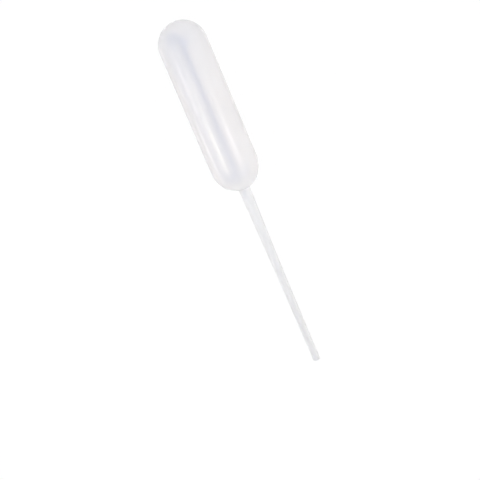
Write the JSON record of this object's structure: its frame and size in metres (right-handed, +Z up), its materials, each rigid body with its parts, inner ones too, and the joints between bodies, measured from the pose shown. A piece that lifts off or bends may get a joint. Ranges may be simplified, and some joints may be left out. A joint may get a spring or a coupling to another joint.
{
  "type": "plastic dropper pipette",
  "caption": "Squeeze dropper pipette moulded whole in translucent soft plastic: a capsule-shaped bulb and a thin tapering stem with an open tip.",
  "frame": {"origin": "on the surface that the pipette lies on, under the middle of its overall length and under its long axis", "axes": "+X along the pipette's long axis from the bulb's closed end to the open tip, +Y across it, +Z up from the surface that it lies on"},
  "size_m": [0.0922, 0.0118, 0.0118],
  "materials": {
    "natural_plastic": "smooth, glossy, milky translucent natural low-density polyethylene"
  },
  "bodies": {
    "root": {"pipette": "natural_plastic"}
  },
  "joints": []
}
